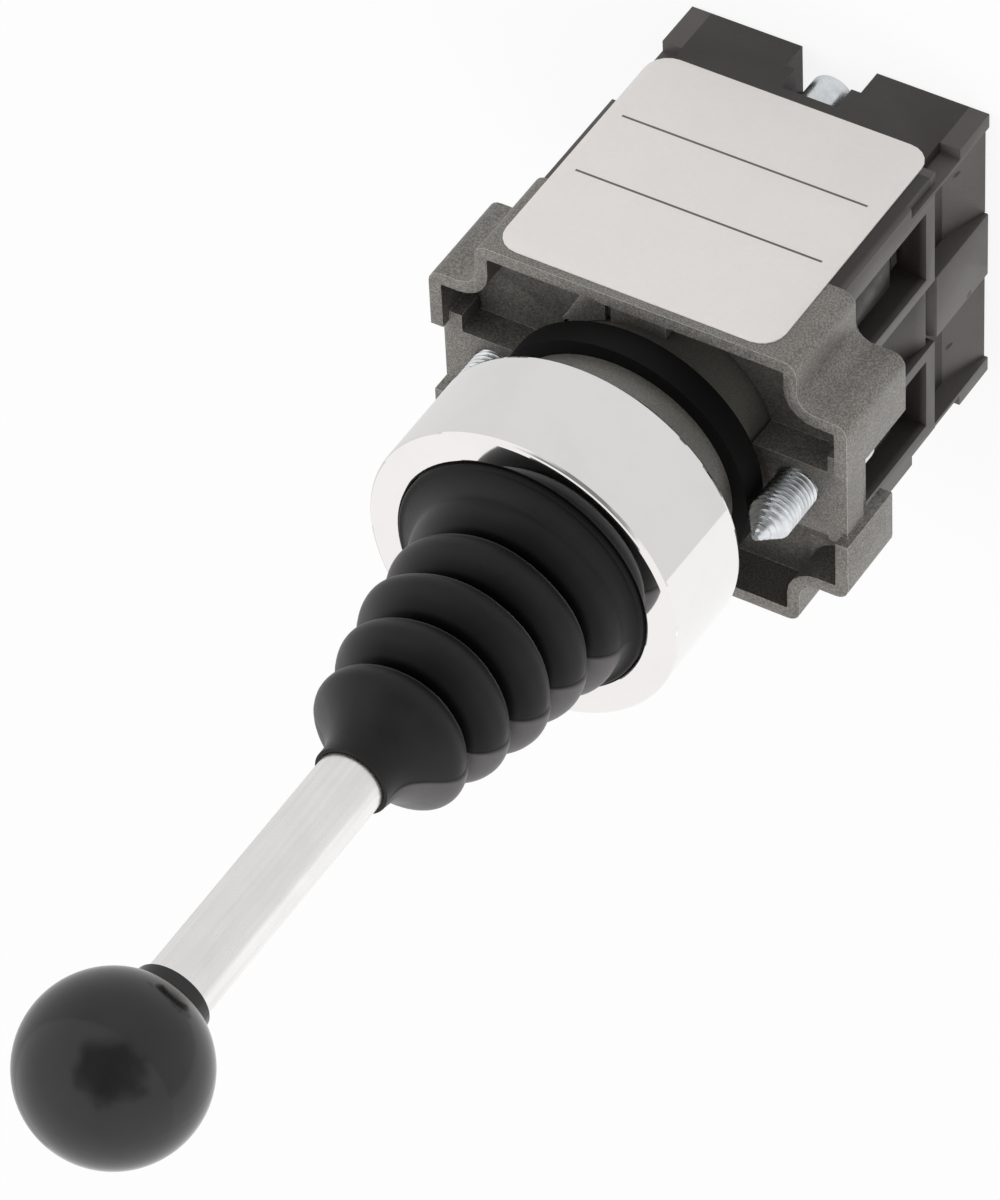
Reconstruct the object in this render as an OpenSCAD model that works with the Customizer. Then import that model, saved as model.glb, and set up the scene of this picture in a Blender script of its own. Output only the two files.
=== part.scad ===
// Two-direction panel joystick (wobble stick) with two stacked contact blocks.
// Lever axis is Z, the knob is at +Z, the lever tilts towards +Y and -Y.
// The origin is on the lever axis, on the rear face of the bezel, where the panel seats.

/* [Bezel] */
// Outside diameter of the chrome bezel
bezel_d = 29.4; // [28.6:0.1:32]
// Height of the bezel in front of the panel
bezel_h = 10.75; // [10.2:0.05:13]
// Rounding of the bezel's outer edges
bezel_round = 0.5; // [0.2:0.1:0.8]
// Rounding of the inner edge of the bezel's flat front ring
bezel_lip_round = 0.3; // [0.2:0.05:0.5]

/* [Neck] */
// Outside diameter of the neck that passes through the panel hole
neck_d = 22; // [21.4:0.1:22.2]
// Length of the neck behind the panel seat
neck_len = 13; // [12.6:0.1:14]
// Step in radius behind the panel hole's land
neck_relief = 0.4; // [0.35:0.05:0.5]
// Bore of the neck
neck_bore_d = 18.6; // [18.2:0.1:19]
// Diameter of the head flange inside the bezel
flange_d = 25.6; // [25:0.1:26]
// Front face of the head flange, measured from the panel seat
flange_top = 4.4; // [4.2:0.1:4.8]
// Thickness of the head flange
flange_t = 2.4; // [2:0.1:3]
// Clear width between the two cheeks that carry the pivot pin
cheek_gap = 10.4; // [10:0.1:11]
// Depth of the cheeks behind the pivot axis
cheek_drop = 7; // [6:0.5:8]

/* [Lever] */
// Height of the pivot axis above the panel seat
pivot_z = 2.8; // [2.7:0.05:2.85]
// Diameter of the pivot pin
pin_d = 3; // [2.6:0.1:3]
// Length of the pivot pin
pin_len = 19; // [18.6:0.1:19.4]
// Diameter of the lever rod
rod_d = 6; // [5.5:0.1:6.2]
// Height of the centre of the ball above the panel seat
ball_z = 72.3; // [66:0.5:80]
// Diameter of the ball knob
ball_d = 16; // [15:0.5:20]
// Diameter of the boss on the ball
ball_boss_d = 7; // [6.9:0.1:8]
// Length of the boss in front of the ball's own surface
ball_boss_h = 0.4; // [0.3:0.1:1.4]
// Diameter of the threaded stud on the rod
stud_d = 4; // [3.6:0.1:4]
// Length of the threaded stud on the rod
stud_len = 7; // [6:0.5:8]
// Diameter of the brass insert in the ball
insert_d = 6.2; // [6:0.1:6.4]
// Diameter of the pivot hub
hub_d = 9; // [8.6:0.1:9]
// Height of the hub above the pivot axis
hub_up = 6; // [5.4:0.1:6.4]
// Depth of the rod's socket in the hub
socket_depth = 4; // [3.5:0.1:4.2]
// Thickness of the friction washers beside the hub
washer_t = 0.5; // [0.4:0.05:0.6]
// Gap between the friction washers and the cheeks
washer_gap = 0.1; // [0.08:0.01:0.15]

/* [Rocker] */
// Half length of the rocker that works the two plungers
rocker_half = 8; // [7.8:0.1:8.1]
// Width of the rocker
rocker_w = 6.8; // [6.4:0.1:7.4]
// Thickness of the rocker
rocker_t = 1.5; // [1.3:0.1:1.6]
// Distance from the pivot axis to the rocker's working face
rocker_drop = 4; // [3.9:0.05:4.1]

/* [Boot] */
// Diameter of the boot's edge in the bezel's opening
boot_edge_d = 23; // [22.6:0.1:23.2]
// Thickness of the rubber
boot_wall = 0.9; // [0.7:0.05:1]
// Thickness of the boot's clamped flange
boot_flange_t = 1.2; // [1:0.1:1.3]
// Thickness of the steel ring under the boot's flange
boot_ring_t = 0.6; // [0.5:0.1:0.8]
// Number of free convolutions above the first one
waves = 4; // [3:1:5]
// Distance between the crests
wave_pitch = 4.6; // [4.4:0.02:4.8]
// Height of the boot's rim above the bezel
rim_h = 0.35; // [0.3:0.05:0.6]
// Height of the first crest above the bezel
first_crest_h = 1.95; // [1.8:0.05:2.2]
// Crest diameter of the first convolution
first_crest_d = 20; // [19:0.1:20.2]
// Crest diameter of the last convolution
last_crest_d = 13.8; // [13.4:0.1:15]
// Depth of the grooves between the crests
wave_depth = 2.1; // [1.6:0.1:2.3]
// Length of the bell-shaped end between the last crest and the lip
bell_len = 6.2; // [6:0.1:8]
// Gap between the boot's lip and the rod
lip_gap = 0.28; // [0.25:0.01:0.3]

/* [Gasket] */
// Outside diameter of the panel gasket
gasket_d = 24.8; // [24:0.1:25.2]
// Thickness of the panel gasket
gasket_t = 2.7; // [2:0.1:3]
// Distance from the panel seat to the gasket
gasket_z = 4.9; // [4.6:0.1:5.2]

/* [Collar] */
// Width of the fixing collar over its feet
collar_w = 40; // [39:0.5:42]
// Height of the fixing collar over its crowns
collar_h = 29.57; // [29.4:0.1:31]
// Width of the collar's crowns
crown_w = 30.66; // [30.4:0.1:31.4]
// Height of the collar over its feet
feet_h = 19.86; // [19:0.1:20.4]
// Gap between the upper and the lower feet
feet_gap = 7.62; // [7:0.1:8.4]
// Distance from the panel seat to the collar's front edge
collar_z = 8.26; // [8:0.05:8.6]
// Depth of the collar
collar_depth = 9.92; // [9.6:0.1:11]
// Wall of the collar
collar_wall = 1.2; // [1:0.05:1.4]
// Outer rounding of the collar's profile
collar_round = 1.2; // [0.8:0.1:1.4]
// Radius of the coves between the crowns and the feet
cove_r = 1.8; // [1:0.1:2.2]
// Depth of the two lower feet
low_foot_depth = 7.6; // [6:0.1:9]
// Height of the collar's web above the clamp screws' plane
web_up = 3; // [2.8:0.1:3.2]
// Height of the collar's web below the clamp screws' plane
web_down = 4.3; // [3:0.1:4.6]
// Thickness of the collar's web
web_t = 2.7; // [2.2:0.1:3]
// Set back of the web behind the collar's front edge
web_back = 1.05; // [0.8:0.05:1.4]
// Distance from the collar's front edge to its inner floor
floor_back = 4.24; // [4.1:0.02:4.4]
// Thickness of the collar's inner floor
floor_t = 1; // [0.8:0.1:1.2]

/* [Clamp screws] */
// Diameter of the two clamp screws
clamp_d = 4; // [3.6:0.1:4]
// Distance of each clamp screw from the lever axis
clamp_x = 14.6; // [14.4:0.1:15]
// Distance from the panel seat to the points of the clamp screws
clamp_tip = 2.4; // [2.3:0.1:4]
// Length of the clamp screws' points
clamp_point = 2.4; // [1.6:0.1:3]
// Diameter of the flat at the end of each clamp screw's point
clamp_tip_d = 0.8; // [0.6:0.1:1.2]
// Length of each clamp screw up to its head
clamp_len = 11.8; // [11:0.1:12.2]
// Diameter of the clamp screws' heads
clamp_head_d = 6.6; // [6:0.1:6.8]
// Height of the clamp screws' heads
clamp_head_h = 2.6; // [2:0.1:3]
// Width of the slots in the clamp screws' heads
clamp_slot_w = 1; // [0.8:0.1:1.2]
// Depth of the slots in the clamp screws' heads
clamp_slot_depth = 1.2; // [0.8:0.1:1.4]

/* [Contact blocks] */
// Width of the contact blocks
block_w = 28.8; // [28.4:0.1:30]
// Distance from the collar's rear edge to the rear of the blocks
block_len = 24.7; // [24:0.1:27]
// Height of the centre base between the two blocks
base_h = 7; // [6.6:0.1:7.2]
// Wall between each block's inside and the centre base
inner_wall = 1.2; // [1:0.1:1.3]
// Wall between each wire chamber and the outer face
outer_wall = 2.5; // [2.3:0.1:2.8]
// Front wall of the contact blocks
front_wall = 1.7; // [1.4:0.1:2]
// Length of the wire chambers along the lever axis
chamber_len = 12; // [11.5:0.1:12.5]
// Width of the contact chamber inside each block
cavity_w = 16.6; // [16:0.1:17]
// Height of the contact chamber inside each block
cavity_h = 5.4; // [5.2:0.1:5.5]
// Depth of the pockets in the blocks' end faces
pocket_depth = 2; // [1.5:0.1:2.1]
// Length of the pockets in the blocks' end faces
pocket_len = 4.4; // [4:0.1:5]
// Set back of the blocks' end faces at their rear corners
pocket_rise = 0.35; // [0.2:0.05:0.6]
// Outer wall of the blocks over the pockets
pocket_wall = 1.5; // [1.3:0.1:2]
// Thickness of the bridge between each pocket and the notch above it
pocket_bridge = 0.4; // [0.3:0.05:0.6]
// Width of the rear notch over the fixing screw
notch_w = 7.2; // [6.8:0.1:7.6]
// Length of the rear notch over the fixing screw
notch_len = 5.4; // [5:0.1:6]
// Depth of the rear notch over the fixing screw
notch_depth = 5.1; // [5.1:0.1:5.3]

/* [Terminals] */
// Distance of the terminal screws from the middle plane
terminal_x = 9.3; // [9.1:0.1:9.4]
// Height of the terminal screws above the block's inner face
terminal_y = 4.9; // [4.8:0.1:5]
// Thread diameter of the terminal screws
terminal_d = 3; // [2.6:0.1:3]
// Head diameter of the terminal screws
terminal_head_d = 5.2; // [4.8:0.1:5.4]
// Head height of the terminal screws
terminal_head_h = 2; // [1.6:0.1:2.2]
// Side of the square clamp plates
clamp_plate_w = 5; // [4.6:0.1:5.2]
// Thickness of the square clamp plates
clamp_plate_t = 1; // [0.8:0.1:1.2]
// Thickness of the fixed contact strips
strip_t = 0.8; // [0.6:0.1:1]
// Width of the fixed contact strips
strip_w = 3.2; // [3:0.1:3.3]

/* [Plungers] */
// Distance of each plunger from the lever axis
plunger_y = 7; // [6.9:0.05:7.1]
// Diameter of the plungers
plunger_d = 3; // [2.8:0.1:3]
// Gap between the rocker and the plungers
rocker_gap = 0.45; // [0.42:0.01:0.5]
// Length of each plunger from its tip to its flange
plunger_len = 21.3; // [21:0.1:21.6]
// Diameter of the plungers' flanges
plunger_flange_d = 4.2; // [4:0.1:4.4]
// Travel of each plunger from its middle position
travel = 1.833; // [1.6:0.001:1.9]
// Half length of the moving contact bridges
bridge_half = 6.6; // [6.4:0.1:6.8]
// Width of the moving contact bridges
bridge_w = 3.4; // [3:0.1:3.6]
// Thickness of the moving contact bridges
bridge_t = 0.6; // [0.5:0.05:0.7]
// Wire diameter of the return springs
wire_d = 0.5; // [0.4:0.05:0.55]
// Mean diameter of the return springs
spring_d = 3.8; // [3.5:0.1:3.9]
// Number of turns of the return springs
spring_turns = 6; // [5:1:7]

/* [Fixing screws] */
// Thread diameter of the two block fixing screws
fix_d = 2.6; // [2.4:0.1:2.6]
// Head diameter of the two block fixing screws
fix_head_d = 4.1; // [3.9:0.1:4.1]
// Head length of the two block fixing screws
fix_head_h = 4.1; // [3.8:0.1:4.4]
// Depth of the fixing screws' axes below the blocks' outer faces
fix_inset = 2.95; // [2.9:0.05:3]

/* [Label] */
// Width of the blank label
label_w = 26.7; // [24:0.1:27]
// Length of the blank label
label_len = 27.2; // [22:0.1:27.5]
// Thickness of the label
label_t = 0.15; // [0.1:0.05:0.2]
// Distance from the collar's front edge to the label
label_inset = 0.8; // [0.5:0.1:3]

/* [Clearances] */
// Radial running clearance of the pins and plungers
run_fit = 0.04; // [0.02:0.01:0.08]
// Radial clearance around the neck
neck_fit = 0.25; // [0.2:0.01:0.3]
// Radial clearance around the screws
screw_fit = 0.05; // [0.03:0.01:0.1]
// Gap between pieces that are slid together
seat_gap = 0.2; // [0.1:0.05:0.25]

/* [Hidden] */
$fn = 72;
e = 0.01;
neck_r = neck_d / 2;
tail_r = neck_r - neck_relief;
bezel_r = bezel_d / 2;
bore_r = neck_bore_d / 2;
flange_r = flange_d / 2;
ring_z = flange_top + boot_ring_t;
shoulder_z = ring_z + boot_flange_t;
opening_r = boot_edge_d / 2 + neck_fit;
boot_edge_z = bezel_h;
crest_z = boot_edge_z + first_crest_h;
lip_wall = boot_wall * 0.5;
wave_end = crest_z + waves * wave_pitch;
lip_z = wave_end + bell_len;
lip_r = rod_d / 2 + lip_gap;
neck_end = -neck_len;
collar_front = -collar_z;
collar_rear = -(collar_z + collar_depth);
web_front = collar_front - web_back;
floor_z = collar_front - floor_back;
carrier_front = floor_z - floor_t;
carrier_t = carrier_front - collar_rear;
half_h = collar_h / 2;
block_rear = collar_rear - block_len;
base_y = base_h / 2;
cavity_front = collar_rear - front_wall;
chamber_rear = cavity_front - chamber_len;
chamber_top = half_h - outer_wall;
tip_z = pivot_z - rocker_drop - rocker_gap;
flange_z = tip_z - plunger_len;
flange_h = 1;
bridge_z = flange_z - flange_h - bridge_t;
rivet_t = 0.3;
strip_top = bridge_z - rivet_t - travel - 0.25;
spring_seat = bridge_z - 8.4;
pocket_z = chamber_rear - 1.5;
term_y = base_y + terminal_y;
plate_z = strip_top - strip_t - 2.7;
well_z = chamber_rear - 1.3;
well_r = terminal_head_d / 2 + 0.3;
fix_y = half_h - fix_inset;
notch_z = block_rear + notch_len;
label_x = -0.6;

function unit(v) = v / norm(v);

// Rounded corner p1 of a polygon, with n steps.
function corner(p0, p1, p2, r, n = 5) = r <= 0 ? [p1] :
  let (u = unit(p0 - p1), w = unit(p2 - p1), half = acos(u * w) / 2,
    c = p1 + unit(u + w) * r / sin(half), s = p1 + u * r / tan(half) - c,
    t = p1 + w * r / tan(half) - c, a = atan2(s[1], s[0]),
    d = (atan2(t[1], t[0]) - a + 540) % 360 - 180)
  [for (k = [0:n]) c + r * [cos(a + d * k / n), sin(a + d * k / n)]];

// Polygon of rows [x, y, corner radius].
function rounded(rows, n = 5) = [for (i = [0:len(rows) - 1])
  let (m = len(rows), p = rows[(i + m - 1) % m], q = rows[i], s = rows[(i + 1) % m])
  each corner([p[0], p[1]], [q[0], q[1]], [s[0], s[1]], q[2], n)];

module ring(r1, r0, z0, z1) {
  translate([0, 0, z0]) difference() {
    cylinder(r = r1, h = z1 - z0);
    translate([0, 0, -1]) cylinder(r = r0, h = z1 - z0 + 2);
  }
}

// Box given by its two corners.
module box(a, b) {
  translate(a) cube(b - a);
}

// Outline in the XZ plane, extruded from y0 to y1.
module prism_xz(points, y0, y1) {
  translate([0, y1, 0]) rotate([90, 0, 0]) linear_extrude(y1 - y0) polygon(points);
}

module both_sides() {
  children();
  mirror([1, 0, 0]) children();
}

module both_blocks() {
  children();
  mirror([0, 1, 0]) children();
}

module bezel() color("gainsboro") {
  rotate_extrude() polygon(rounded([
    [neck_r + screw_fit, 0, 0], [bezel_r, 0, bezel_round],
    [bezel_r, bezel_h, bezel_round], [opening_r, bezel_h, bezel_lip_round],
    [opening_r, shoulder_z, 0],
    [flange_r + screw_fit, shoulder_z, 0], [flange_r + screw_fit, flange_top - flange_t, 0],
    [neck_r + screw_fit, flange_top - flange_t, 0]]));
}

module head_body() color("darkgray") difference() {
  union() {
    translate([0, 0, neck_end]) cylinder(r = tail_r, h = neck_len + flange_top);
    // land that fills the panel hole
    translate([0, 0, -gasket_z]) cylinder(r = neck_r, h = gasket_z);
    translate([0, 0, flange_top - flange_t]) cylinder(r = flange_r, h = flange_t);
  }
  translate([0, 0, neck_end - 1]) cylinder(r = bore_r, h = neck_len - cheek_drop + pivot_z + 1);
  intersection() {
    translate([0, 0, neck_end - 1]) cylinder(r = bore_r, h = neck_len + flange_top + 2);
    box([-cheek_gap / 2, -neck_r, neck_end - 1], [cheek_gap / 2, neck_r, flange_top + 1]);
  }
  // seats of the pivot pin, open to the front and closed by the boot ring
  translate([-pin_len / 2 - run_fit, 0, pivot_z]) rotate([0, 90, 0])
    cylinder(d = pin_d + 2 * run_fit, h = pin_len + 2 * run_fit);
  box([-pin_len / 2 - run_fit, -pin_d / 2 - run_fit, pivot_z],
    [pin_len / 2 + run_fit, pin_d / 2 + run_fit, flange_top + 1]);
}

module boot_ring() color("silver") ring(flange_r - 0.1, bore_r - 0.3, flange_top, ring_z);

module pivot_pin() color("lightgray") {
  translate([-pin_len / 2, 0, pivot_z]) rotate([0, 90, 0]) cylinder(d = pin_d, h = pin_len);
}

// Outer radius of the bellows at the crest with number k, 0 at the bezel.
function crest_r(k) = (first_crest_d + (last_crest_d - first_crest_d) * pow(k / waves, 1.35)) / 2;
// Groove in front of the crest k
function groove_r(k) = (crest_r(k) + crest_r(k + 1)) / 2 - wave_depth;
// Hollow sweep from the rim to the first crest
function sweep(n = 6) = let (r0 = boot_edge_d / 2 - 0.4, z0 = boot_edge_z + rim_h)
  [for (i = [0:n - 1]) let (t = i / n)
    [crest_r(0) + (r0 - crest_r(0)) * pow(1 - t, 2), z0 + (crest_z - z0) * t]];
// One round convolution from the groove behind it to the groove in front of it.
// The first one starts and the last one ends at its crest.
function wave(k, n = 12) = let (c = crest_r(k))
  [for (i = [k == 0 ? 0 : -n:k == waves ? 0 : n]) let (t = i / n,
    g = t < 0 ? groove_r(k - 1) : groove_r(k))
    [g + (c - g) * pow(cos(90 * t), 0.62), crest_z + (k + t / 2) * wave_pitch]];
// Bell-shaped end from the last crest down to the lip on the rod
function bell(n = 18) = let (r1 = lip_r + lip_wall, r0 = last_crest_d / 2)
  [for (i = [1:n]) let (t = i / n, a = 180 * (1 - pow(1 - pow(t, 1.15), 1.9)))
    [r1 + (r0 - r1) * (1 + cos(a)) / 2, wave_end + bell_len * t]];
boot_outer = concat([[boot_edge_d / 2, shoulder_z]],
  corner([boot_edge_d / 2, shoulder_z], [boot_edge_d / 2, boot_edge_z + rim_h],
    sweep()[0], 0.25),
  sweep(), [for (k = [0:waves]) each wave(k)], bell());
boot_inner = [for (p = boot_outer) if (p[1] > shoulder_z + 1)
  [max(p[0] - boot_wall, lip_r), p[1] < boot_edge_z + 1 ? p[1] - boot_wall : p[1]]];

module boot() color("#2b2b2b") {
  rotate_extrude() polygon(concat(
    [[boot_edge_d / 2 - boot_wall, ring_z], [flange_r - 0.2, ring_z],
     [flange_r - 0.2, shoulder_z]],
    boot_outer, [for (i = [len(boot_inner) - 1:-1:0]) boot_inner[i]]));
}

module ball_knob() color("#1c1c1c") difference() {
  union() {
    translate([0, 0, ball_z]) sphere(d = ball_d, $fn = 96);
    translate([0, 0, ball_z - ball_d / 2 - ball_boss_h])
      cylinder(d = ball_boss_d, h = ball_boss_h + 2);
  }
  translate([0, 0, ball_z - ball_d / 2 - ball_boss_h - 1])
    cylinder(d = insert_d, h = stud_len + 2.2);
}

module knob_insert() color("goldenrod") difference() {
  translate([0, 0, ball_z - ball_d / 2 - ball_boss_h]) cylinder(d = insert_d, h = stud_len + 1.2);
  translate([0, 0, ball_z - ball_d / 2 - ball_boss_h - 1])
    cylinder(d = stud_d + 2 * screw_fit, h = stud_len + 1.4);
}

module lever_rod() color("lightgray") {
  socket_z = pivot_z + hub_up - socket_depth;
  stud_z = ball_z - ball_d / 2 - ball_boss_h;
  translate([0, 0, socket_z]) cylinder(d = rod_d, h = stud_z - socket_z);
  translate([0, 0, stud_z - e]) cylinder(d = stud_d, h = stud_len + e);
}

washer_x = cheek_gap / 2 - washer_gap - washer_t;

module pivot_hub() color("gray") difference() {
  translate([0, 0, pivot_z - rocker_drop + rocker_t])
    cylinder(d = hub_d, h = hub_up + rocker_drop - rocker_t);
  translate([0, 0, pivot_z + hub_up - socket_depth])
    cylinder(d = rod_d + 2 * screw_fit, h = socket_depth + 1);
  translate([-hub_d, 0, pivot_z]) rotate([0, 90, 0]) cylinder(d = pin_d + 2 * run_fit, h = 2 * hub_d);
  // flats against the friction washers
  both_sides() box([washer_x, -hub_d, pivot_z - hub_d], [hub_d, hub_d, pivot_z + hub_d]);
  // tapped hole of the rocker's screw
  translate([0, 0, pivot_z - rocker_drop]) cylinder(d = 2.2, h = rocker_t + 0.8);
}

module friction_washers() color("tan") both_sides() difference() {
  translate([washer_x, 0, pivot_z]) rotate([0, 90, 0]) cylinder(d = pin_d + 2.2, h = washer_t);
  translate([washer_x - 1, 0, pivot_z]) rotate([0, 90, 0])
    cylinder(d = pin_d + 4 * run_fit, h = washer_t + 2);
}

module rocker() color("ivory") difference() {
  translate([0, 0, pivot_z - rocker_drop]) linear_extrude(rocker_t)
    polygon(rounded([[-rocker_w / 2, -rocker_half, 1.2], [rocker_w / 2, -rocker_half, 1.2],
      [rocker_w / 2, rocker_half, 1.2], [-rocker_w / 2, rocker_half, 1.2]]));
  translate([0, 0, pivot_z - rocker_drop - 1]) cylinder(d = 2.2, h = rocker_t + 2);
  translate([0, 0, pivot_z - rocker_drop - e]) cylinder(d1 = 4, d2 = 2.2, h = 0.9);
}

module rocker_screw() color("silver") {
  translate([0, 0, pivot_z - rocker_drop + e]) cylinder(d1 = 3.9, d2 = 2.1, h = 0.85);
  translate([0, 0, pivot_z - rocker_drop + 0.8]) cylinder(d = 2.1, h = rocker_t - 0.1);
}

module panel_gasket() color("#202020")
  ring(gasket_d / 2, tail_r + seat_gap, -gasket_z - gasket_t, -gasket_z);

// Half profile of the collar's crown and feet: w inset by the wall.
function hat(w, low) = let (f = collar_w / 2 - w, c = crown_w / 2 - w, r = max(collar_round - w, 0.2))
  [[f, low, 0], [f, feet_h / 2 - w, r], [c, feet_h / 2 - w, cove_r + w],
   [c, half_h - w, r], [-c, half_h - w, r], [-c, feet_h / 2 - w, cove_r + w],
   [-f, feet_h / 2 - w, r], [-f, low, 0]];

module fixing_collar() color("#8d8a84") difference() {
  union() {
    both_blocks() translate([0, 0, collar_rear]) linear_extrude(collar_depth) difference() {
      polygon(rounded(hat(0, feet_gap / 2)));
      polygon(rounded(hat(collar_wall, feet_gap / 2 - 1)));
    }
    // inner floor
    both_blocks() translate([0, 0, carrier_front]) linear_extrude(floor_t)
      polygon(rounded(hat(collar_wall / 2, feet_gap / 2)));
    box([-collar_w / 2 + collar_wall, -feet_gap / 2 - e, carrier_front],
      [collar_w / 2 - collar_wall, feet_gap / 2 + e, floor_z]);
    // web between the feet
    box([-collar_w / 2 + collar_wall, -web_down, floor_z - e],
      [collar_w / 2 - collar_wall, web_up, web_front]);
    both_sides() box([collar_w / 2 - 2 * collar_wall, -feet_gap / 2 - 1, web_front - web_t],
      [collar_w / 2 - collar_wall / 2, feet_gap / 2 + 1, web_front]);
    // lugs up to the crowns, slotted
    both_blocks() difference() {
      translate([0, 0, floor_z - e]) linear_extrude(web_front - 0.4 - floor_z)
        polygon([[-7.8, 8.7], [2.1, 8.7], [2.1, half_h - collar_wall / 2],
          [-5.7, half_h - collar_wall / 2], [-5.9, 12.2]]);
      box([-3.7, 8, web_front - 1], [-3.1, half_h, web_front]);
    }
  }
  translate([0, 0, collar_rear - 1]) cylinder(r = tail_r + neck_fit, h = collar_depth + 2);
  both_sides() translate([clamp_x, 0, collar_rear - 1])
    cylinder(d = clamp_d + 2 * screw_fit, h = collar_depth + 2);
  // shorter lower feet
  both_sides() prism_xz([[crown_w / 2 + 0.1, collar_rear - 1], [collar_w, collar_rear - 1],
    [collar_w, collar_front - low_foot_depth], [crown_w / 2 + 0.1, collar_front - low_foot_depth]],
    -feet_h / 2 - 1, -feet_gap / 2 + 1);
}

module clamp_screws() color("#c9ced2") both_sides() translate([clamp_x, 0, 0]) difference() {
  union() {
    translate([0, 0, -clamp_tip - clamp_point]) cylinder(d1 = clamp_d, d2 = clamp_tip_d, h = clamp_point);
    translate([0, 0, -clamp_tip - clamp_len]) cylinder(d = clamp_d, h = clamp_len - clamp_point);
    translate([0, 0, -clamp_tip - clamp_len - clamp_head_h])
      cylinder(d = clamp_head_d, h = clamp_head_h);
  }
  box([-clamp_head_d, -clamp_slot_w / 2, -clamp_tip - clamp_len - clamp_head_h - 1],
    [clamp_head_d, clamp_slot_w / 2, -clamp_tip - clamp_len - clamp_head_h + clamp_slot_depth]);
}

module contact_carrier() color("#33302e") difference() {
  union() {
    translate([0, 0, collar_rear]) linear_extrude(carrier_t - seat_gap) both_blocks()
      polygon(rounded([[crown_w / 2 - collar_wall - seat_gap, base_y, 0],
        [crown_w / 2 - collar_wall - seat_gap, half_h - collar_wall - seat_gap, 0.6],
        [-crown_w / 2 + collar_wall + seat_gap, half_h - collar_wall - seat_gap, 0.6],
        [-crown_w / 2 + collar_wall + seat_gap, base_y, 0]]));
    // waist between the heads of the clamp screws
    box([-clamp_x + clamp_head_d / 2 + seat_gap, -base_y, collar_rear],
      [clamp_x - clamp_head_d / 2 - seat_gap, base_y, carrier_front - seat_gap]);
  }
  both_blocks() {
    translate([0, plunger_y, collar_rear - 1])
      cylinder(d = plunger_d + 2 * run_fit, h = carrier_t + 2);
    translate([0, fix_y, collar_rear - 1])
      cylinder(d = fix_d + 2 * screw_fit, h = carrier_t - 0.2);
  }
}

// Black moulded block that covers y from base_y to half_h.
module block() difference() {
  // body with stepped end faces
  prism_xz([[-block_w / 2, collar_rear], [block_w / 2, collar_rear],
    [block_w / 2, block_rear], [-block_w / 2, block_rear]], base_y, half_h);
  // contact chamber, spring seat and plunger hole
  box([-cavity_w / 2, base_y + inner_wall, chamber_rear + 1],
    [cavity_w / 2, base_y + inner_wall + cavity_h, cavity_front]);
  translate([0, plunger_y, spring_seat]) cylinder(d = spring_d + wire_d + 0.5, h = 8);
  translate([0, plunger_y, collar_rear - front_wall - 1])
    cylinder(d = plunger_d + 0.6, h = front_wall + 2);
  both_sides() {
    // wire chamber, open at the block's end
    box([cavity_w / 2 - 1.6, base_y + inner_wall, chamber_rear],
      [block_w / 2 + 1, chamber_top, cavity_front]);
    // well of the terminal screw
    translate([terminal_x, term_y, block_rear - 1]) cylinder(r = well_r, h = well_z - block_rear + 1);
    translate([terminal_x, term_y, well_z - 1]) cylinder(d = terminal_d + 0.4, h = 4);
    // pocket behind the wire chamber, with a wall that slopes out to the rear corner
    prism_xz([[block_w / 2 - pocket_depth, pocket_z], [block_w / 2 + 1, pocket_z],
      [block_w / 2 + 1, block_rear - 1], [block_w / 2 - pocket_rise, block_rear - 1],
      [block_w / 2 - pocket_rise, block_rear],
      [block_w / 2 - pocket_depth, pocket_z - pocket_len]], base_y - 1, half_h - pocket_wall);
    // notch in the outer face above the pocket, beyond a thin bridge
    box([block_w / 2 - pocket_depth, half_h - pocket_wall + pocket_bridge, pocket_z - pocket_len],
      [block_w / 2 + 1, half_h + 1, pocket_z - 1]);
    // shallow step along the outer edge
    box([block_w / 2 - 0.5, half_h - pocket_wall + pocket_bridge, pocket_z - 1 - e],
      [block_w / 2 + 1, half_h + 1, pocket_z + 4]);
  }
  // rear notch and hole of the fixing screw
  box([-notch_w / 2, half_h - notch_depth, block_rear - 1],
    [notch_w / 2, half_h + 1, notch_z - 2.6]);
  box([-notch_w / 2 + 0.9, half_h - notch_depth, block_rear - 1],
    [notch_w / 2 - 0.9, half_h + 1, notch_z]);
  translate([0, fix_y, block_rear]) cylinder(d = fix_d + 2 * screw_fit, h = block_len + 1);
}

module upper_block() color("#3a3431") block();
module lower_block() color("#3a3431") mirror([0, 1, 0]) block();

// Base between the two blocks, with sides that taper towards the collar.
module centre_base() color("#37322f") {
  half_w = block_w / 2;
  prism_xz([[half_w - 3.3, collar_rear], [half_w - 2.4, collar_rear - 7.1],
    [half_w - 0.3, chamber_rear - 0.5], [half_w - 1.3, pocket_z], [half_w, pocket_z - 0.4],
    [half_w, block_rear], [-half_w, block_rear], [-half_w, pocket_z - 0.4],
    [-half_w + 1.3, pocket_z], [-half_w + 0.3, chamber_rear - 0.5],
    [-half_w + 2.4, collar_rear - 7.1], [-half_w + 3.3, collar_rear]], -base_y, base_y);
}

module terminal_screws() color("#b9bcbf") both_blocks() both_sides()
  translate([terminal_x, term_y, 0]) difference() {
    union() {
      translate([0, 0, well_z - 0.1]) cylinder(d = terminal_d, h = strip_top + 0.8 - well_z + 0.1);
      translate([0, 0, well_z - 0.1 - terminal_head_h])
        cylinder(d = terminal_head_d, h = terminal_head_h);
    }
    box([-terminal_head_d, -0.45, well_z - 1.1 - terminal_head_h],
      [terminal_head_d, 0.45, well_z + 0.7 - terminal_head_h]);
  }

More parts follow.
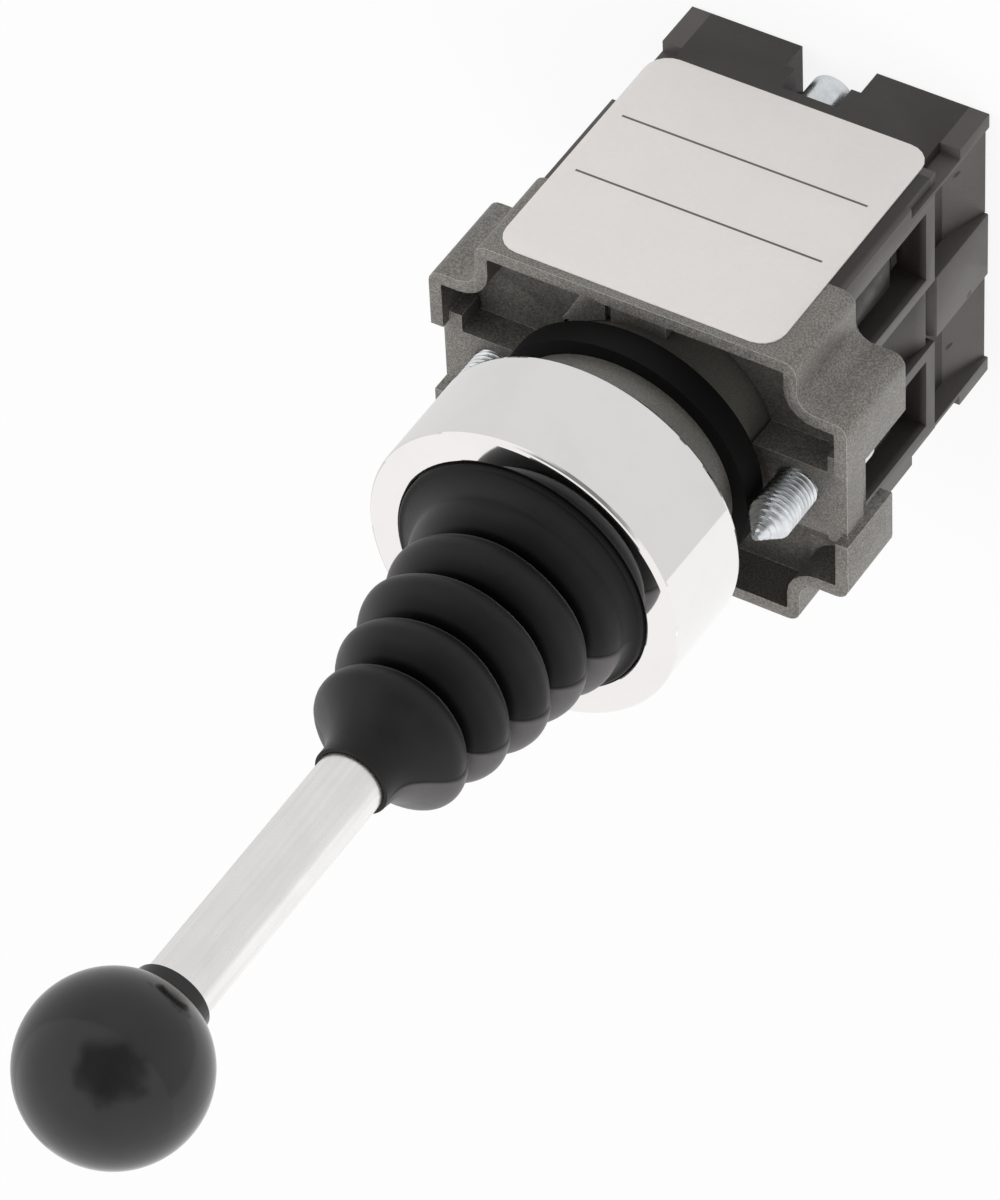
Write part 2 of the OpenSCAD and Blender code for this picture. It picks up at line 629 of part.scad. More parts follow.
module terminal_clamps() color("#c4b26a") both_blocks() both_sides()
  translate([terminal_x, term_y, plate_z]) difference() {
    box([-clamp_plate_w / 2, -clamp_plate_w / 2, -clamp_plate_t],
      [clamp_plate_w / 2, clamp_plate_w / 2, 0]);
    translate([0, 0, -clamp_plate_t - 1])
      cylinder(d = terminal_d + 2 * screw_fit, h = clamp_plate_t + 2);
  }

module fixed_contacts() color("#b08d57") both_blocks() both_sides() difference() {
  prism_xz([[4.6, strip_top], [block_w / 2 - 2, strip_top], [block_w / 2 - 2, cavity_front - 2.3],
    [block_w / 2 - 2.9, cavity_front - 1.5], [block_w / 2 - 2.3, cavity_front - 0.9],
    [block_w / 2 - 1.2, cavity_front - 2], [block_w / 2 - 1.2, strip_top - strip_t],
    [4.6, strip_top - strip_t]], term_y - strip_w / 2, term_y + strip_w / 2);
  translate([terminal_x, term_y, strip_top - 2]) cylinder(d = terminal_d + 2 * screw_fit, h = 4);
}

module block_screws() color("#c9ced2") both_blocks() translate([0, fix_y, 0]) difference() {
  union() {
    translate([0, 0, notch_z - e]) cylinder(d = fix_d, h = carrier_front - 1.4 - notch_z);
    translate([0, 0, notch_z - fix_head_h]) cylinder(d = fix_head_d, h = fix_head_h);
  }
  box([-fix_head_d, -0.4, notch_z - fix_head_h - 1], [fix_head_d, 0.4, notch_z - fix_head_h + 1.1]);
}

module label() color("#ded6d3") {
  front = collar_front - label_inset;
  translate([label_x, 0, 0]) prism_xz(rounded([[-label_w / 2, front - label_len, 2.2],
    [label_w / 2, front - label_len, 2.2], [label_w / 2, front, 2.2],
    [-label_w / 2, front, 2.2]]), half_h, half_h + label_t);
}

// Points of one wire section of a coil at angle a, at height h.
function coil_ring(a, h, n = 6) = [for (j = [0:n - 1]) let (b = 360 * j / n,
  r = spring_d / 2 + wire_d / 2 * cos(b))
  [r * cos(a), r * sin(a), h + wire_d / 2 * sin(b)]];

module spring() {
  steps = spring_turns * 14;
  n = 6;
  z0 = spring_seat + wire_d / 2 + 0.02;
  z1 = bridge_z - wire_d / 2 - 0.1;
  points = [for (i = [0:steps]) each coil_ring(360 * i / 14, z0 + (z1 - z0) * i / steps)];
  faces = concat([[for (j = [0:n - 1]) j]],
    [for (i = [0:steps - 1], j = [0:n - 1]) let (k = (j + 1) % n)
      [i * n + j, (i + 1) * n + j, (i + 1) * n + k, i * n + k]],
    [[for (j = [n - 1:-1:0]) steps * n + j]]);
  translate([0, plunger_y, 0]) polyhedron(points, faces, convexity = 8);
}

module upper_spring() color("silver") spring();
module lower_spring() color("silver") mirror([0, 1, 0]) spring();

module plunger() translate([0, plunger_y, 0]) {
  r = plunger_d / 2;
  translate([0, 0, tip_z - r]) sphere(r = r);
  translate([0, 0, flange_z]) cylinder(r = r, h = plunger_len - r);
  translate([0, 0, flange_z - flange_h]) cylinder(d = plunger_flange_d, h = flange_h + e);
  translate([0, 0, bridge_z - 3]) cylinder(d = 1.8, h = 3 + bridge_t + e);
}

module upper_plunger() color("#e8e2d0") plunger();
module lower_plunger() color("#e8e2d0") mirror([0, 1, 0]) plunger();

module bridge() difference() {
  union() {
    translate([0, plunger_y, bridge_z]) linear_extrude(bridge_t) polygon(rounded([
      [-bridge_half, -bridge_w / 2, 0.8], [bridge_half, -bridge_w / 2, 0.8],
      [bridge_half, bridge_w / 2, 0.8], [-bridge_half, bridge_w / 2, 0.8]]));
    both_sides() translate([bridge_half - 1.2, plunger_y + 0.3, bridge_z - rivet_t])
      cylinder(d = 1.8, h = rivet_t + e);
  }
  translate([0, plunger_y, bridge_z - 1]) cylinder(d = 1.8 + 2 * screw_fit, h = 3);
}

module upper_bridge() color("#c08a4a") bridge();
module lower_bridge() color("#c08a4a") mirror([0, 1, 0]) bridge();

bezel();
head_body();
boot_ring();
boot();
pivot_pin();
ball_knob();
knob_insert();
lever_rod();
pivot_hub();
friction_washers();
rocker();
rocker_screw();
panel_gasket();
fixing_collar();
clamp_screws();
contact_carrier();
upper_block();
lower_block();
centre_base();
terminal_screws();
terminal_clamps();
fixed_contacts();
block_screws();
label();
upper_spring();
lower_spring();
upper_plunger();
upper_bridge();
lower_plunger();
lower_bridge();
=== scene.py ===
import math
import bpy
import bmesh
from mathutils import Matrix, Vector, noise


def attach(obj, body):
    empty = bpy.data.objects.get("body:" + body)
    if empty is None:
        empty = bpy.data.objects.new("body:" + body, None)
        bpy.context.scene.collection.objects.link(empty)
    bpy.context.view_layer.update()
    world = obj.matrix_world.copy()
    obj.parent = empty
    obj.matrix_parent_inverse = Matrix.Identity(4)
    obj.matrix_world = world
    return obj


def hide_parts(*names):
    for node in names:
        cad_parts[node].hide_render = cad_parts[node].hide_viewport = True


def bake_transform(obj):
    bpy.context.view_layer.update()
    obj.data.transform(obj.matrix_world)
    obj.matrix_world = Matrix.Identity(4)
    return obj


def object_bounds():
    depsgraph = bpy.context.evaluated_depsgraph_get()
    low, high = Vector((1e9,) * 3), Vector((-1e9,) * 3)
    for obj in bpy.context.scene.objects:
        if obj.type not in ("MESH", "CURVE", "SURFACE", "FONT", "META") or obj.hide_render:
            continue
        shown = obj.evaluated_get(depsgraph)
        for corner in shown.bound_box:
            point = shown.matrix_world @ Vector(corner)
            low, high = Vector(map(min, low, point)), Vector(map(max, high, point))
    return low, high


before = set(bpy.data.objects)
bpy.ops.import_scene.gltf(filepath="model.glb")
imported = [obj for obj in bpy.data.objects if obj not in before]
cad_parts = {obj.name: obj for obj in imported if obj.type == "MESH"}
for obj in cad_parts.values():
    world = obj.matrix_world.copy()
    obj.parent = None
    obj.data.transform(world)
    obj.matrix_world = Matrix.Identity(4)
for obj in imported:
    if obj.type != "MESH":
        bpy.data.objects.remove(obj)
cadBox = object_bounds()
mm = 0.001
print("frame loaded:", len(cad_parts), "nodes")


# A socket of a shader tree that can be used in a Python expression.
class Value:
    def __init__(self, finish, socket):
        self.finish, self.socket = finish, socket

    def maths(self, operation, *others):
        values = {0: self.socket}
        values.update({k + 1: v for k, v in enumerate(others)})
        return self.finish.node("ShaderNodeMath", {"operation": operation}, values)

    def flipped(self, operation, other):
        return self.finish.node("ShaderNodeMath", {"operation": operation}, {0: other, 1: self.socket})

    def __add__(self, other): return self.maths("ADD", other)
    def __radd__(self, other): return self.flipped("ADD", other)
    def __sub__(self, other): return self.maths("SUBTRACT", other)
    def __rsub__(self, other): return self.flipped("SUBTRACT", other)
    def __mul__(self, other): return self.maths("MULTIPLY", other)
    def __pow__(self, other): return self.maths("POWER", other)
    def __abs__(self): return self.maths("ABSOLUTE")
    def above(self, level): return self.maths("GREATER_THAN", level)
    def below(self, level): return self.maths("LESS_THAN", level)

    def ramp(self, low, high, bottom=0.0, top=1.0):
        return self.finish.node("ShaderNodeMapRange", {"clamp": True},
                                {0: self.socket, 1: low, 2: high, 3: bottom, 4: top})


# One procedural material, built around one shader.
class Finish:
    def __init__(self, name, **fixed):
        self.material = bpy.data.materials.new(name)
        self.material.use_nodes = True
        self.tree = self.material.node_tree
        self.shader = self.tree.nodes["Principled BSDF"]
        for socket, value in fixed.items():
            self.shader.inputs[socket.replace("_", " ")].default_value = value

    def node(self, kind, settings=None, values=None, out=0):
        made = self.tree.nodes.new(kind)
        for key, value in (settings or {}).items():
            setattr(made, key, value)
        for key, value in (values or {}).items():
            if isinstance(value, Value):
                value = value.socket
            if isinstance(value, bpy.types.NodeSocket):
                self.tree.links.new(value, made.inputs[key])
            else:
                made.inputs[key].default_value = value
        return Value(self, made.outputs[out])

    # The point in the object's own coordinates, stretched along its axes.
    def place(self, stretch=(1, 1, 1)):
        point = self.node("ShaderNodeTexCoord", out=3)
        if stretch == (1, 1, 1):
            return point
        return self.node("ShaderNodeMapping", {"vector_type": "POINT"},
                         {"Vector": point, "Scale": stretch})

    # Noise with grains of about this size in mm.
    def grain(self, size, detail=3.0, rough=0.55, stretch=(1, 1, 1), seed=0.0):
        return self.node("ShaderNodeTexNoise", {"noise_dimensions": "4D"},
                         {"Vector": self.place(stretch), "Scale": 1 / (size * mm), "Detail": detail,
                          "Roughness": rough, "W": seed})

    # Distance to the nearest of scattered points, about this many mm apart.
    def cells(self, size, seed=0.0):
        return self.node("ShaderNodeTexVoronoi", {"voronoi_dimensions": "4D", "feature": "F1"},
                         {"Vector": self.place(), "Scale": 1 / (size * mm), "W": seed})

    def axis(self, letter):
        apart = self.node("ShaderNodeSeparateXYZ", None, {"Vector": self.place()})
        return Value(self, apart.socket.node.outputs["XYZ".index(letter)])

    # A value stored on the mesh under this name, 0 where there is none.
    def mark(self, name):
        return self.node("ShaderNodeAttribute", {"attribute_name": name}, out=2)

    def mix(self, factor, first, second, blend="MIX"):
        def paint(value):
            return value if isinstance(value, Value) else (*value, 1)
        return self.node("ShaderNodeMix", {"data_type": "RGBA", "blend_type": blend},
                         {0: factor, 6: paint(first), 7: paint(second)}, out=2)

    def feed(self, socket, value):
        self.tree.links.new(value.socket, self.shader.inputs[socket])

    # Layers of height and depth in mm, one on top of the other.
    def bump(self, *layers):
        normal = None
        for height, depth in layers:
            values = {"Height": height, "Strength": 1.0, "Distance": depth * mm}
            if normal:
                values["Normal"] = normal
            normal = self.node("ShaderNodeBump", None, values)
        self.feed("Normal", normal)


def chromeFinish():
    look = {"colour": (0.88, 0.87, 0.865), "rubbed": (0.80, 0.79, 0.78), "polish": 0.035,
            "haze": 0.05, "smearSize": 7, "dustSize": 0.55}
    f = Finish("bezelChrome", Metallic=1.0)
    smear = f.grain(look["smearSize"], 4, 0.6).ramp(0.45, 0.75)
    dust = f.cells(look["dustSize"]).ramp(0.05, 0.11, 1, 0) * f.grain(3, 2, 0.5, seed=4).ramp(0.55, 0.7)
    f.feed("Base Color", f.mix(smear * 0.5 + dust * 0.4, look["colour"], look["rubbed"]))
    f.feed("Roughness", look["polish"] + smear * look["haze"] + dust * 0.2)
    f.bump((f.grain(5, 2), 0.004), (f.grain(0.25, 2), 0.0004))
    return f.material


def rodFinish():
    look = {"colour": (0.95, 0.935, 0.92), "streak": (0.74, 0.72, 0.70), "satin": 0.24,
            "streakSize": 0.55, "streakStretch": (1, 1, 0.03)}
    f = Finish("rodSteel", Metallic=1.0)
    streak = f.grain(look["streakSize"], 4, 0.6, stretch=look["streakStretch"]).ramp(0.35, 0.75)
    cloud = f.grain(4, 3, 0.6, seed=2).ramp(0.4, 0.7)
    f.feed("Base Color", f.mix(streak * 0.45 + cloud * 0.15, look["colour"], look["streak"]))
    f.feed("Roughness", look["satin"] + streak * 0.1 + cloud * 0.05)
    f.bump((streak, 0.006), (f.grain(0.12, 2, stretch=(1, 1, 0.06), seed=7), 0.004))
    return f.material


def knobFinish():
    look = {"colour": (0.008, 0.0072, 0.0076), "dust": (0.035, 0.031, 0.031), "gloss": 0.13,
            "cloudSize": 3.5, "speckSize": 0.45}
    f = Finish("knobPlastic", IOR=1.52)
    cloud = f.grain(look["cloudSize"], 4, 0.6).ramp(0.35, 0.75)
    speck = f.cells(look["speckSize"], 3).ramp(0.03, 0.08, 1, 0) * f.grain(2, 2, seed=5).ramp(0.5, 0.65)
    f.feed("Base Color", f.mix(cloud * 0.25 + speck * 0.5, look["colour"], look["dust"]))
    f.feed("Roughness", look["gloss"] + cloud * 0.06 + speck * 0.3)
    f.bump((f.grain(2.2, 2, seed=9), 0.012), (f.grain(0.3, 2), 0.0012))
    return f.material


# The boot's marks carry painted shade, dark in its grooves and light on its crests, and a painted sheen
# that pales it beyond the seam and on its left side.
def rubberFinish(name="bootRubber", colour=(0.013, 0.0125, 0.0125), rubbed=(0.030, 0.029, 0.029),
                 matte=0.44, sheen=0.2):
    look = {"colour": colour, "rubbed": rubbed, "paintedGrooveShade": (0.0012, 0.0011, 0.0011),
            "dust": (0.10, 0.098, 0.095), "paintedSheenTone": (0.13, 0.125, 0.127), "matte": matte,
            "bloomSize": 4.0, "grainSize": 0.12, "dustSize": 0.35}
    f = Finish(name, IOR=1.5, Specular_IOR_Level=0.2, Sheen_Weight=sheen, Sheen_Roughness=0.3)
    bloom = f.grain(look["bloomSize"], 5, 0.6).ramp(0.35, 0.75)
    fine = f.grain(look["grainSize"], 2, 0.5, seed=3)
    dust = f.cells(look["dustSize"], 6).ramp(0.04, 0.09, 1, 0) * f.grain(1.6, 2, seed=8).ramp(0.52, 0.68)
    tone = f.mix(bloom * 0.35 + fine * 0.12, look["colour"], look["rubbed"])
    tone = f.mix(dust * 0.4, tone, look["dust"])
    if name == "bootRubber":
        # Painted shade: the grooves go towards a near-black, and the crests keep the rubber's own tone.
        tone = f.mix(f.mark("crest"), look["paintedGrooveShade"], tone)
        # Painted sheen: beyond the seam and on the left side the rubber is made much paler.
        tone = f.mix(f.mark("paintedSheen") * (0.75 + bloom * 0.25), tone, look["paintedSheenTone"])
    f.feed("Base Color", tone)
    f.feed("Roughness", look["matte"] + bloom * 0.10 + (fine - 0.5) * 0.12)
    f.bump((bloom, 0.02), (fine, 0.010))
    return f.material


# Die-cast zinc; the bevelled edges are pale, partly wear and partly a painted highlight, and the collar's
# inside faces below its front rim carry painted shade.
def castFinish(name="collarZinc", colour=(0.15, 0.143, 0.13), pale=(0.38, 0.366, 0.34),
               dark=(0.05, 0.047, 0.042)):
    look = {"colour": colour, "pale": pale, "dark": dark, "worn": (0.88, 0.865, 0.83),
            "inside": (0.012, 0.0115, 0.011), "insideShare": 0.25, "insideHeights": (-9.0, -11.8),
            "insideReach": ((14.05, 13.4), (18.7, 8.6)), "grainSize": 0.17, "blotchSize": 2.6,
            "pitSize": 0.5, "roughness": 0.46}
    f = Finish(name)
    grit = f.grain(look["grainSize"], 3, 0.65)
    blotch = f.grain(look["blotchSize"], 4, 0.6, seed=2)
    pits = f.cells(look["pitSize"], 4).ramp(0.08, 0.2, 1, 0) * f.grain(1.2, 2, seed=6).ramp(0.5, 0.7)
    paler = grit.ramp(0.43, 0.62) * 0.75 + blotch.ramp(0.4, 0.65) * 0.12
    tone = f.mix(paler, look["colour"], look["pale"])
    tone = f.mix(pits * 0.5 + grit.ramp(0.40, 0.27) * 0.4, tone, look["dark"])
    # Pale edges on the bevels, partly real wear and partly a painted highlight.
    worn = f.mark("edge") * f.grain(0.4, 3, 0.6, seed=11).ramp(0.30, 0.46, 0.4, 1)
    tone = f.mix(worn, tone, look["worn"])
    # Painted shade: the collar's inside faces below the front rim go towards near-black.
    if name == "collarZinc":
        z, x, y = f.axis("Z"), abs(f.axis("X")), abs(f.axis("Y"))
        tall, wide = (y.below(reachY * mm) * x.below(reachX * mm)
                      for reachX, reachY in look["insideReach"])
        depth = z.ramp(*(height * mm for height in look["insideHeights"]))
        tone = f.mix(tall.maths("MAXIMUM", wide) * depth * look["insideShare"], tone, look["inside"])
    f.feed("Base Color", tone)
    f.feed("Metallic", 0.5 - worn * 0.4)
    f.feed("Roughness", look["roughness"] + grit.ramp(0.3, 0.7, -0.06, 0.1) - worn * 0.1)
    f.bump((blotch, 0.03), (grit, 0.035), (pits, -0.02))
    return f.material


# Moulded plastic; the blocks' end faces and feet are made paler as painted light, and the moulding's gates
# left small dark marks on the ends.
def mouldedFinish(name, colour=(0.027, 0.0222, 0.0212), rubbed=(0.075, 0.066, 0.062), matte=0.44):
    look = {"colour": colour, "rubbed": rubbed, "matte": matte, "paintedEndLight": (0.095, 0.087, 0.084),
            "endFace": (13.7, 14.2), "foot": (12.5, -33.5), "sparkSize": 0.16, "cloudSize": 5,
            "gateMarks": ((9.9, -39.7), (-3.0, -39.4), (-9.4, -38.9)), "markSize": 0.42,
            "markTone": (0.004, 0.0035, 0.0035)}
    f = Finish(name, IOR=1.53, Specular_IOR_Level=0.4)
    spark = f.grain(look["sparkSize"], 2, 0.6)
    cloud = f.grain(look["cloudSize"], 4, 0.6, seed=1).ramp(0.35, 0.7)
    scuff = f.grain(0.5, 3, 0.6, stretch=(0.25, 1, 1), seed=4).ramp(0.62, 0.8)
    worn = f.mark("edge") * f.grain(0.9, 3, 0.6, seed=5).ramp(0.35, 0.6, 0.25, 1)
    tone = f.mix(cloud * 0.12 + spark.ramp(0.4, 0.7) * 0.08, look["colour"], look["rubbed"])
    tone = f.mix(worn * 0.6 + scuff * 0.2, tone, look["rubbed"])
    spot = None
    if name in ("blockPlastic", "basePlastic"):
        x, y, z = f.axis("X"), f.axis("Y"), f.axis("Z")
        faceFrom, faceTo = look["endFace"]
        footX, footZ = look["foot"]
        # Painted light: the end faces and the feet are made paler, as if lit from the side.
        foot = abs(x).above(footX * mm) * z.below(footZ * mm)
        ends = abs(x).ramp(faceFrom * mm, faceTo * mm).maths("MAXIMUM", foot)
        tone = f.mix(ends * (0.75 + cloud * 0.25), tone, look["paintedEndLight"])
        for markY, markZ in look["gateMarks"]:
            across = y - markY * mm
            away = ((across * 1.7) ** 2 + (z - markZ * mm + across * 0.5) ** 2) ** 0.5
            size = look["markSize"] * mm
            near = (away + (spark - 0.5) * 0.5 * mm).ramp(size * 0.7, size, 1, 0)
            spot = near if spot is None else spot.maths("MAXIMUM", near)
        spot = spot * x.above(footX * mm)
        tone = f.mix(spot * 0.9, tone, look["markTone"])
    f.feed("Base Color", tone)
    f.feed("Roughness", look["matte"] + spark.ramp(0.3, 0.7, -0.05, 0.07) - worn * 0.1)
    f.bump((cloud, 0.012), (spark, 0.012), (scuff, 0.004), *([(spot, -0.05)] if spot else []))
    return f.material


def platedFinish(name="screwSteel", colour=(0.84, 0.87, 0.89), dull=(0.52, 0.55, 0.57),
                 roughness=0.24):
    look = {"colour": colour, "dull": dull, "roughness": roughness, "bareEdge": (0.86, 0.84, 0.81)}
    f = Finish(name, Metallic=1.0)
    cloud = f.grain(1.3, 4, 0.6).ramp(0.4, 0.7)
    fine = f.grain(0.12, 2, seed=2)
    plated = f.mix(cloud * 0.6, look["colour"], look["dull"])
    f.feed("Base Color", f.mix(f.mark("edge") * 0.85, plated, look["bareEdge"]))
    f.feed("Roughness", look["roughness"] + cloud * 0.14 + (fine - 0.5) * 0.1)
    f.bump((fine, 0.006), (cloud, 0.008))
    return f.material


def brassFinish(name="brass", colour=(0.72, 0.52, 0.24), dull=(0.36, 0.23, 0.10)):
    f = Finish(name, Metallic=1.0)
    cloud = f.grain(1.4, 4, 0.6).ramp(0.4, 0.7)
    f.feed("Base Color", f.mix(cloud * 0.6, colour, dull))
    f.feed("Roughness", 0.28 + cloud * 0.2)
    f.bump((f.grain(0.15, 2, stretch=(1, 1, 0.1)), 0.005))
    return f.material


def paperFinish():
    look = {"colour": (0.90, 0.868, 0.845), "shade": (0.82, 0.785, 0.76), "ink": (0.035, 0.03, 0.03),
            "ruleWidth": 0.2, "rules": (-20.1, -27.8), "ruleMiddle": -0.7, "ruleHalf": 11.8}
    f = Finish("labelPaper", IOR=1.45)
    mottle = f.grain(0.5, 3, 0.6).ramp(0.3, 0.7)
    cloud = f.grain(6, 3, 0.5, seed=2).ramp(0.35, 0.7)
    tone = f.mix(mottle * 0.28 + cloud * 0.3, look["colour"], look["shade"])
    z, x = f.axis("Z"), f.axis("X")
    inked = None
    for rule in look["rules"]:
        width = look["ruleWidth"] * mm
        line = abs(z - rule * mm).ramp(width * 0.5, width * 0.65, 1, 0)
        inked = line if inked is None else inked.maths("MAXIMUM", line)
    inked = inked * abs(x - look["ruleMiddle"] * mm).below(look["ruleHalf"] * mm)
    f.feed("Base Color", f.mix(inked * 0.92, tone, look["ink"]))
    f.feed("Roughness", 0.5 + mottle * 0.08 - inked * 0.1)
    f.bump((mottle, 0.004), (f.grain(9, 2, seed=5), 0.05))
    return f.material


finishes = {
    "chrome": chromeFinish(), "rod": rodFinish(), "knob": knobFinish(), "rubber": rubberFinish(),
    # The gasket's black rubber is made darker still as painted shade.
    "gasket": rubberFinish("gasketRubber", (0.002, 0.0019, 0.0019), (0.006, 0.0057, 0.0057), 0.6, 0.0),
    "zinc": castFinish(),
    "neck": castFinish("neckZinc", (0.19, 0.185, 0.168), (0.28, 0.272, 0.25), (0.11, 0.105, 0.095)),
    "block": mouldedFinish("blockPlastic"),
    "base": mouldedFinish("basePlastic", (0.029, 0.0245, 0.0235), (0.07, 0.062, 0.058), 0.42),
    "acetal": mouldedFinish("acetalPlastic", (0.66, 0.63, 0.55), (0.76, 0.73, 0.66), 0.36),
    "fibre": mouldedFinish("washerFibre", (0.30, 0.20, 0.11), (0.42, 0.31, 0.19), 0.6),
    "screw": platedFinish(),
    "steel": platedFinish("plainSteel", (0.56, 0.56, 0.56), (0.34, 0.33, 0.32), 0.32),
    "clampSteel": platedFinish("clampSteel", (0.66, 0.65, 0.58), (0.44, 0.42, 0.36), 0.3),
    # Painted shade: the fixed contacts are near-black, for the shade inside the wire chambers.
    "shadedContact": platedFinish("contactPaintedShade", (0.055, 0.05, 0.044), (0.025, 0.022, 0.02), 0.3),
    "brass": brassFinish(),
    "copper": brassFinish("contactCopper", (0.75, 0.42, 0.26), (0.42, 0.20, 0.11)),
    "paper": paperFinish(),
}
nodeFinish = {
    "bezel": "chrome", "head_body": "neck", "boot_ring": "steel", "boot": "rubber", "pivot_pin": "steel",
    "ball_knob": "knob", "knob_insert": "brass", "lever_rod": "rod", "pivot_hub": "neck",
    "friction_washers": "fibre", "rocker": "acetal", "rocker_screw": "steel", "panel_gasket": "gasket",
    "fixing_collar": "zinc", "clamp_screws": "screw", "contact_carrier": "block", "upper_block": "block",
    "lower_block": "block", "centre_base": "base", "terminal_screws": "screw",
    "terminal_clamps": "clampSteel", "fixed_contacts": "shadedContact", "block_screws": "screw", "label": "paper",
    "upper_spring": "steel", "lower_spring": "steel", "upper_plunger": "acetal", "lower_plunger": "acetal",
    "upper_bridge": "copper", "lower_bridge": "copper",
}
for nodeName, finishName in nodeFinish.items():
    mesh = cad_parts[nodeName].data
    mesh.materials.clear()
    mesh.materials.append(finishes[finishName])
print("materials ready:", len(finishes))


# An object of this form and finish, riding on a body and standing for CAD nodes where they are given.
def piece(name, form, finish, body, *nodes):
    mesh = bpy.data.meshes.new(name)
    form.to_mesh(mesh)
    form.free()
    made = bpy.data.objects.new(name, mesh)
    bpy.context.collection.objects.link(made)
    mesh.materials.append(finishes[finish])
    if body:
        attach(made, body)
    if nodes:
        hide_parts(*nodes)
    return made


# Faces are shaded smooth, and edges that turn by more than this many degrees stay sharp.
def smooth(form, sharp=32):
    for face in form.faces:
        face.smooth = True
    for edge in form.edges:
        edge.smooth = len(edge.link_faces) != 2 or edge.calc_face_angle(0) < math.radians(sharp)


# A copy of a CAD node with its edges rounded, the rounded faces carrying the mark "edge".
def rounded(node, width, segments=2, sharp=34):
    form = bmesh.new()
    form.from_mesh(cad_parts[node].data)
    bmesh.ops.remove_doubles(form, verts=form.verts, dist=2e-6)
    bmesh.ops.dissolve_degenerate(form, edges=form.edges, dist=2e-6)
    bmesh.ops.dissolve_limit(form, angle_limit=math.radians(0.6), verts=form.verts, edges=form.edges)
    crisp = [e for e in form.edges if len(e.link_faces) == 2
             and e.calc_face_angle(0) > math.radians(sharp) and e.calc_length() > width * mm * 0.5]
    made = bmesh.ops.bevel(form, geom=crisp, offset=width * mm, offset_type="OFFSET", segments=segments,
                           profile=0.5, affect="EDGES", clamp_overlap=True, material=-1)
    layer = form.loops.layers.float.new("edge")
    for face in made["faces"]:
        for corner in face.loops:
            corner[layer] = 1.0
    smooth(form)
    return form


# Profile rows (radius, height) in mm, turned round the lever axis.
def turned(rows, steps=128, closed=True):
    form = bmesh.new()
    verts = [form.verts.new((r * mm, 0, z * mm)) for r, z in rows]
    edges = [form.edges.new(pair) for pair in zip(verts, verts[1:] + ([verts[0]] if closed else []))]
    bmesh.ops.spin(form, geom=verts + edges, cent=(0, 0, 0), axis=(0, 0, 1), angle=2 * math.pi,
                   steps=steps, use_merge=True)
    bmesh.ops.remove_doubles(form, verts=form.verts, dist=1e-7)
    bmesh.ops.recalc_face_normals(form, faces=form.faces)
    smooth(form, 40)
    return form


# Radii and heights in mm, angles in degrees round the lever axis. Each crest and groove is a radius
# and a height, each lean is how far that crest is shifted in x and y, and each seam is an angle, the
# way it steps, the step's height and the bulge beyond it.
bellows = {
    "footHeight": 6.2, "innerFrom": 7.5, "edgeRadius": 11.66, "edgeRound": 0.28, "frontHeight": 10.75,
    "edgeDrop": 0.3, "rimHeight": 0.35, "shoulder": 0.45, "wall": 0.9, "wallTurn": 12, "turnSteps": 240,
    "crests": ((10.0, 12.5), (9.25, 16.9), (8.9, 21.5), (7.9, 26.1), (6.9, 30.9)),
    "grooves": ((7.6, 14.9), (6.9, 19.5), (6.2, 24.0), (5.3, 28.7)),
    "fullness": 0.55, "lipRadius": 3.4, "lipHeight": 37.25, "boreRadius": 3.06,
    "lean": ((0.48, -0.36), (0.28, -0.42), (0.0, -0.45), (-0.25, -0.75), (-0.40, -0.85)),
    "leanFrom": 11.2, "fadeIn": 2, "fadeOut": 3,
    "seams": ((-9, -1, 0.16, 0.4), (171, 1, 0.02, 0.0)), "seamWidth": 0.35,
    "stepReach": 30, "bulgeReach": 80, "unevenness": 0.16, "unevenScale": 0.16,
    # The first three on the next line set the painted sheen on the boot's left side: its start and reach
    # in degrees, and its share.
    "sheenFrom": 100, "sheenReach": 50, "sheenShare": 0.5, "bendFrom": 11.4, "bendTo": 35,
}


# Outline of the bellows from its edge in the bezel to its lip on the rod.
def bellowsRows(b, steps=12, edgeSteps=5, slopeSteps=8, lipSteps=24):
    rim = b["frontHeight"] + b["rimHeight"]
    rows = [(b["edgeRadius"], b["footHeight"]), (b["edgeRadius"], rim - b["edgeDrop"])]
    for k in range(1, edgeSteps + 1):
        a = math.radians(90 * k / edgeSteps)
        rows.append((b["edgeRadius"] - b["edgeRound"] * (1 - math.cos(a)),
                     rim - b["edgeRound"] * (1 - math.sin(a))))
    r0, z0 = b["crests"][0]
    start = b["edgeRadius"] - b["shoulder"]
    for k in range(slopeSteps):
        t = k / slopeSteps
        rows.append((r0 + (start - r0) * (1 - t) ** 2, rim + (z0 - rim) * t))
    points = [b["crests"][0]]
    for groove, crest in zip(b["grooves"], b["crests"][1:]):
        points += [groove, crest]
    for (r0, z0), (r1, z1) in zip(points, points[1:]):
        for k in range(steps):
            t = k / steps
            swell = (math.sin if r1 > r0 else math.cos)(t * math.pi / 2) ** b["fullness"]
            rows.append((min(r0, r1) + abs(r1 - r0) * swell, z0 + (z1 - z0) * t))
    r0, z0 = points[-1]
    for k in range(lipSteps + 1):
        t = k / lipSteps
        fall = math.pi * (1 - (1 - t ** 1.15) ** 1.9)
        rows.append((b["lipRadius"] + (r0 - b["lipRadius"]) * (1 + math.cos(fall)) / 2,
                     z0 + (b["lipHeight"] - z0) * t))
    return rows


outerRows = bellowsRows(bellows)
innerRows = [(max(r - bellows["wall"], bellows["boreRadius"]),
              z if z > bellows["wallTurn"] else z - bellows["wall"])
             for r, z in outerRows if z > bellows["innerFrom"]]
bootForm = turned(outerRows + innerRows[::-1], bellows["turnSteps"])
